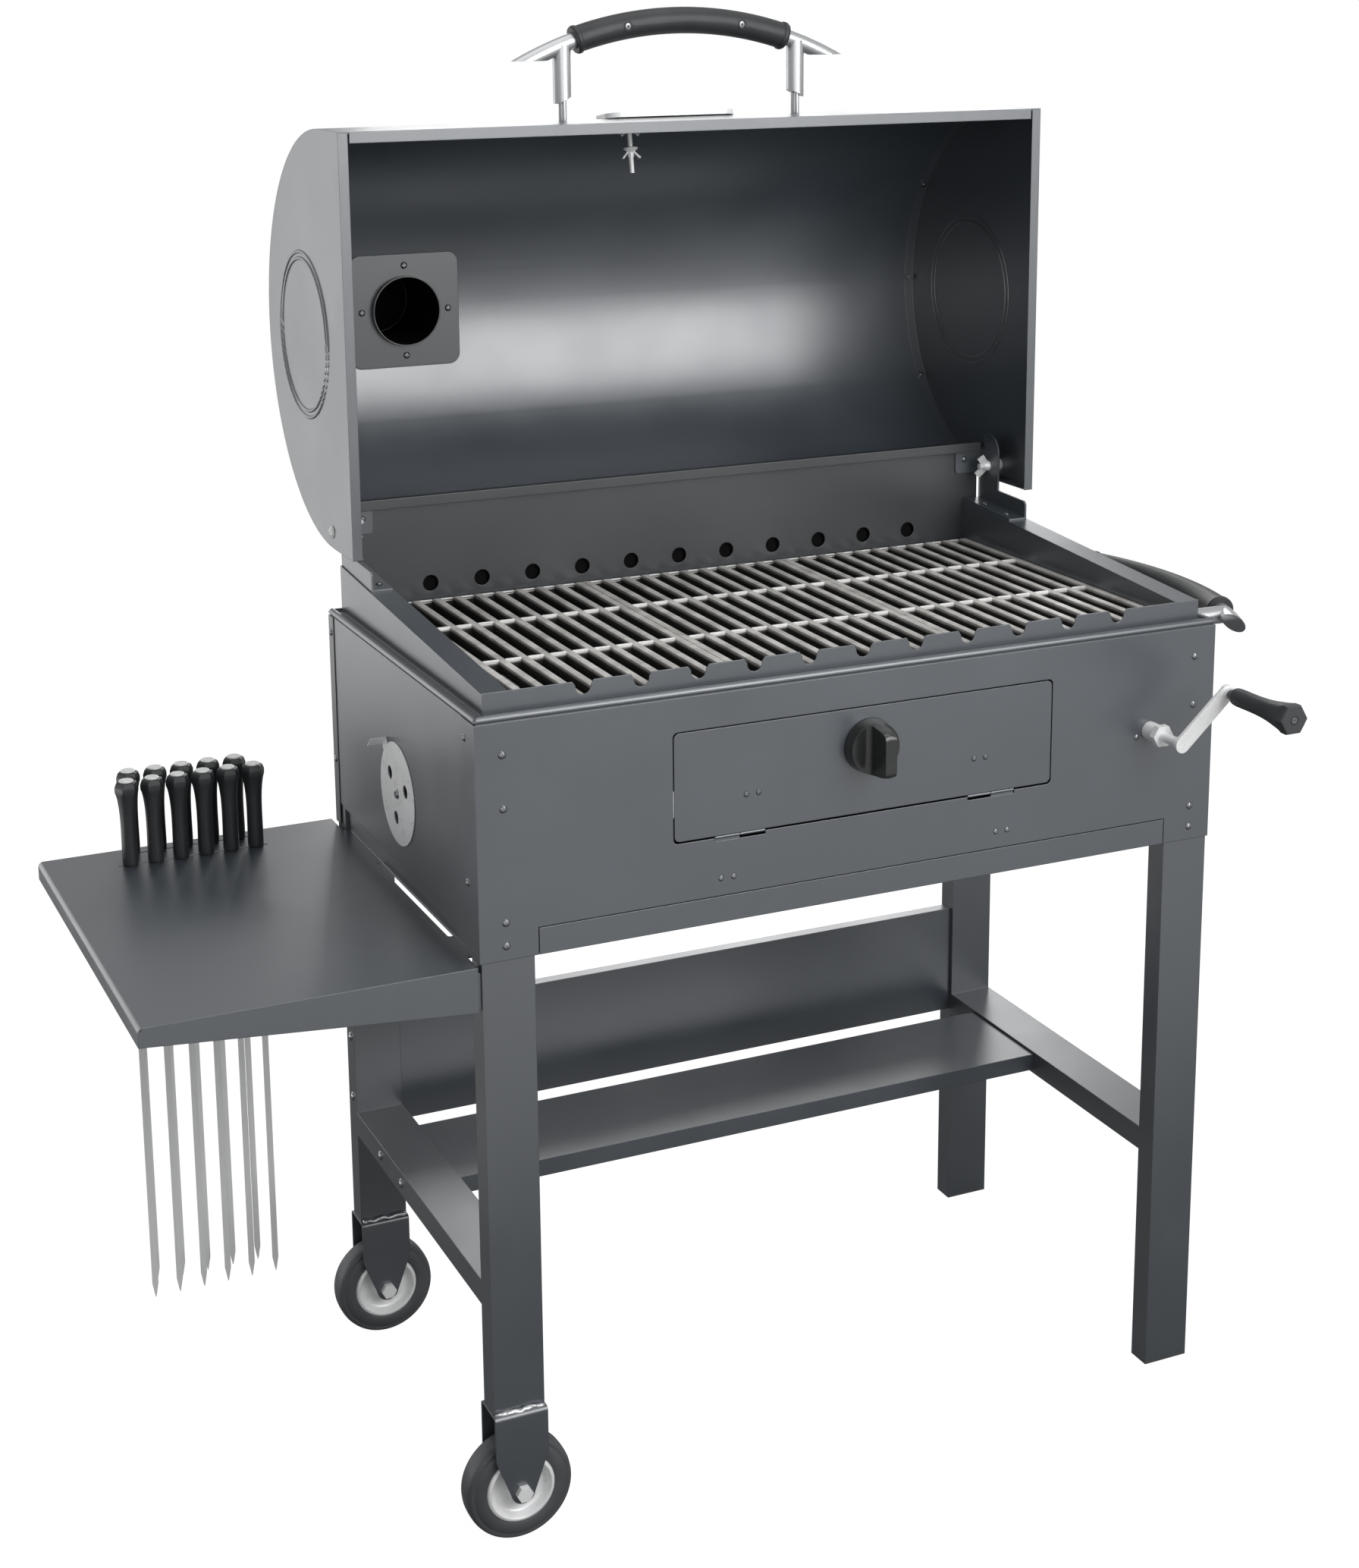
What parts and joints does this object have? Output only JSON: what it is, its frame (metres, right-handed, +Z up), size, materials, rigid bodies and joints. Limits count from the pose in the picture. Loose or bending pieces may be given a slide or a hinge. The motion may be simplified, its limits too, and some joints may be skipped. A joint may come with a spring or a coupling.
{
  "type": "charcoal barrel grill",
  "caption": "Charcoal barrel grill on a wheeled frame, lid open, with a side table, skewers and a crank-lifted tray.",
  "frame": {"origin": "middle of the bounding box, on the floor", "axes": "+Z up, +X along the firebox to the crank's side, +Y towards the back wall"},
  "size_m": [1.424, 1.0296, 1.668],
  "materials": {
    "coat": "satin powder coat, dark anthracite",
    "pale_coat": "satin powder coat on the side pieces",
    "cast_iron": "as cast, oiled",
    "zinc": "bright zinc plate",
    "satin_alloy": "satin",
    "bright_steel": "brushed",
    "black_grip": "matte",
    "tyre": "matte"
  },
  "bodies": {
    "firebox": {"front_panel": "coat", "left_side_panel": "pale_coat", "right_side_panel": "pale_coat", "rear_panel": "coat", "top_rim": "coat", "rear_wall": "coat", "hinge_brackets": "coat", "grate_left": "cast_iron", "grate_middle": "cast_iron", "grate_right": "cast_iron", "left_leg_frame": "pale_coat", "right_leg_frame": "pale_coat", "lower_back_panel": "coat", "bottom_shelf": "coat", "foot_plugs": "black_grip", "caster_forks": "pale_coat", "wheel_axles": "zinc", "lid_pivot_bolts": "zinc", "side_table": "coat", "side_handle_grip": "black_grip", "side_handle_bracket": "satin_alloy", "shaft_bearings": "zinc", "drawer_runners": "coat", "door_hinge_leaves": "coat", "body_screws": "zinc"},
    "lid": {"lid_shell": "coat", "lid_end_plates": "pale_coat", "lid_handle_grip": "black_grip", "lid_handle_bracket": "satin_alloy", "thermometer": "zinc", "chimney_pipe": "coat", "lid_fasteners": "zinc"},
    "chimney_flap": {"chimney_cap": "coat"},
    "charcoal_door": {"door_panel": "coat", "door_hinge_straps": "coat"},
    "door_latch": {"door_knob": "black_grip", "latch_tongue": "zinc"},
    "crank": {"right_lift_shaft": "zinc", "crank_arm": "zinc"},
    "turning_grip": {"crank_grip": "black_grip"},
    "tray": {"coal_tray": "coat"},
    "left_lifter": {"left_lift_shaft": "zinc"},
    "lift_link": {"link_bar": "zinc"},
    "drawer": {"ash_drawer": "coat"},
    "front_wheel": {"front_tyre": "tyre", "front_wheel_rim": "zinc"},
    "rear_wheel": {"rear_tyre": "tyre", "rear_wheel_rim": "zinc"},
    "damper": {"damper_disc": "zinc"},
    "skewer_1_whole": {"skewer_1": "bright_steel"},
    "skewer_2_whole": {"skewer_2": "bright_steel"},
    "skewer_3_whole": {"skewer_3": "bright_steel"},
    "skewer_4_whole": {"skewer_4": "bright_steel"},
    "skewer_5_whole": {"skewer_5": "bright_steel"},
    "skewer_6_whole": {"skewer_6": "bright_steel"},
    "skewer_7_whole": {"skewer_7": "bright_steel"},
    "skewer_8_whole": {"skewer_8": "bright_steel"},
    "skewer_9_whole": {"skewer_9": "bright_steel"},
    "skewer_10_whole": {"skewer_10": "bright_steel"},
    "skewer_11_whole": {"skewer_11": "bright_steel"}
  },
  "joints": [
    {"name": "lid_hinge", "type": "hinge", "parent": "firebox", "child": "lid", "pos_m": [0.115, 0.15625, 1.06], "axis": [1, 0, 0], "range_deg": [0, 90]},
    {"name": "chimney_cap_swing", "type": "hinge", "parent": "lid", "child": "chimney_flap", "pos_m": [-0.175, 0.51125, 1.34], "axis": [0, 1, 0], "range_deg": [0, 110]},
    {"name": "door_hinge", "type": "hinge", "parent": "firebox", "child": "charcoal_door", "pos_m": [0.115, -0.32495, 0.7872], "axis": [1, 0, 0], "range_deg": [0, 95]},
    {"name": "knob_turn", "type": "hinge", "parent": "charcoal_door", "child": "door_latch", "pos_m": [0.115, -0.32675, 0.867], "axis": [0, 1, 0], "range_deg": [-90, 0]},
    {"name": "crank_turn", "type": "hinge", "parent": "firebox", "child": "crank", "pos_m": [0.491, -0.07675, 0.833], "axis": [0, 1, 0], "range_deg": [0, 120]},
    {"name": "grip_spin", "type": "hinge", "parent": "crank", "child": "turning_grip", "pos_m": [0.55194, -0.44675, 0.88787], "axis": [0, 1, 0], "continuous": true},
    {"name": "tray_level", "type": "hinge", "parent": "crank", "child": "tray", "pos_m": [0.461, -0.06975, 0.78104], "axis": [0, 1, 0], "range_deg": [-120, 0]},
    {"name": "left_lifter_turn", "type": "hinge", "parent": "firebox", "child": "left_lifter", "pos_m": [-0.141, -0.07675, 0.833], "axis": [0, 1, 0], "range_deg": [0, 120]},
    {"name": "link_level", "type": "hinge", "parent": "crank", "child": "lift_link", "pos_m": [0.52131, 0.16775, 0.8155], "axis": [0, 1, 0], "range_deg": [-120, 0]},
    {"name": "drawer_slide", "type": "slide", "parent": "firebox", "child": "drawer", "axis": [0, -1, 0], "range_m": [0, 0.36]},
    {"name": "front_wheel_spin", "type": "hinge", "parent": "firebox", "child": "front_wheel", "pos_m": [-0.3176, -0.31055, 0.0625], "axis": [0, 1, 0], "continuous": true},
    {"name": "rear_wheel_spin", "type": "hinge", "parent": "firebox", "child": "rear_wheel", "pos_m": [-0.3176, 0.17205, 0.0625], "axis": [0, 1, 0], "continuous": true},
    {"name": "damper_turn", "type": "hinge", "parent": "firebox", "child": "damper", "pos_m": [-0.3497, -0.06175, 0.798], "axis": [1, 0, 0], "range_deg": [0, 60]},
    {"name": "skewer_1_lift", "type": "slide", "parent": "firebox", "child": "skewer_1_whole", "axis": [0, 0, 1], "range_m": [0, 0.25]},
    {"name": "skewer_2_lift", "type": "slide", "parent": "firebox", "child": "skewer_2_whole", "axis": [0, 0, 1], "range_m": [0, 0.25]},
    {"name": "skewer_3_lift", "type": "slide", "parent": "firebox", "child": "skewer_3_whole", "axis": [0, 0, 1], "range_m": [0, 0.25]},
    {"name": "skewer_4_lift", "type": "slide", "parent": "firebox", "child": "skewer_4_whole", "axis": [0, 0, 1], "range_m": [0, 0.25]},
    {"name": "skewer_5_lift", "type": "slide", "parent": "firebox", "child": "skewer_5_whole", "axis": [0, 0, 1], "range_m": [0, 0.25]},
    {"name": "skewer_6_lift", "type": "slide", "parent": "firebox", "child": "skewer_6_whole", "axis": [0, 0, 1], "range_m": [0, 0.25]},
    {"name": "skewer_7_lift", "type": "slide", "parent": "firebox", "child": "skewer_7_whole", "axis": [0, 0, 1], "range_m": [0, 0.25]},
    {"name": "skewer_8_lift", "type": "slide", "parent": "firebox", "child": "skewer_8_whole", "axis": [0, 0, 1], "range_m": [0, 0.25]},
    {"name": "skewer_9_lift", "type": "slide", "parent": "firebox", "child": "skewer_9_whole", "axis": [0, 0, 1], "range_m": [0, 0.25]},
    {"name": "skewer_10_lift", "type": "slide", "parent": "firebox", "child": "skewer_10_whole", "axis": [0, 0, 1], "range_m": [0, 0.25]},
    {"name": "skewer_11_lift", "type": "slide", "parent": "firebox", "child": "skewer_11_whole", "axis": [0, 0, 1], "range_m": [0, 0.25]}
  ],
  "couplings": [
    {"joint": "left_lifter_turn", "follows": "crank_turn", "ratio": 1},
    {"joint": "tray_level", "follows": "crank_turn", "ratio": -1},
    {"joint": "link_level", "follows": "crank_turn", "ratio": -1}
  ]
}
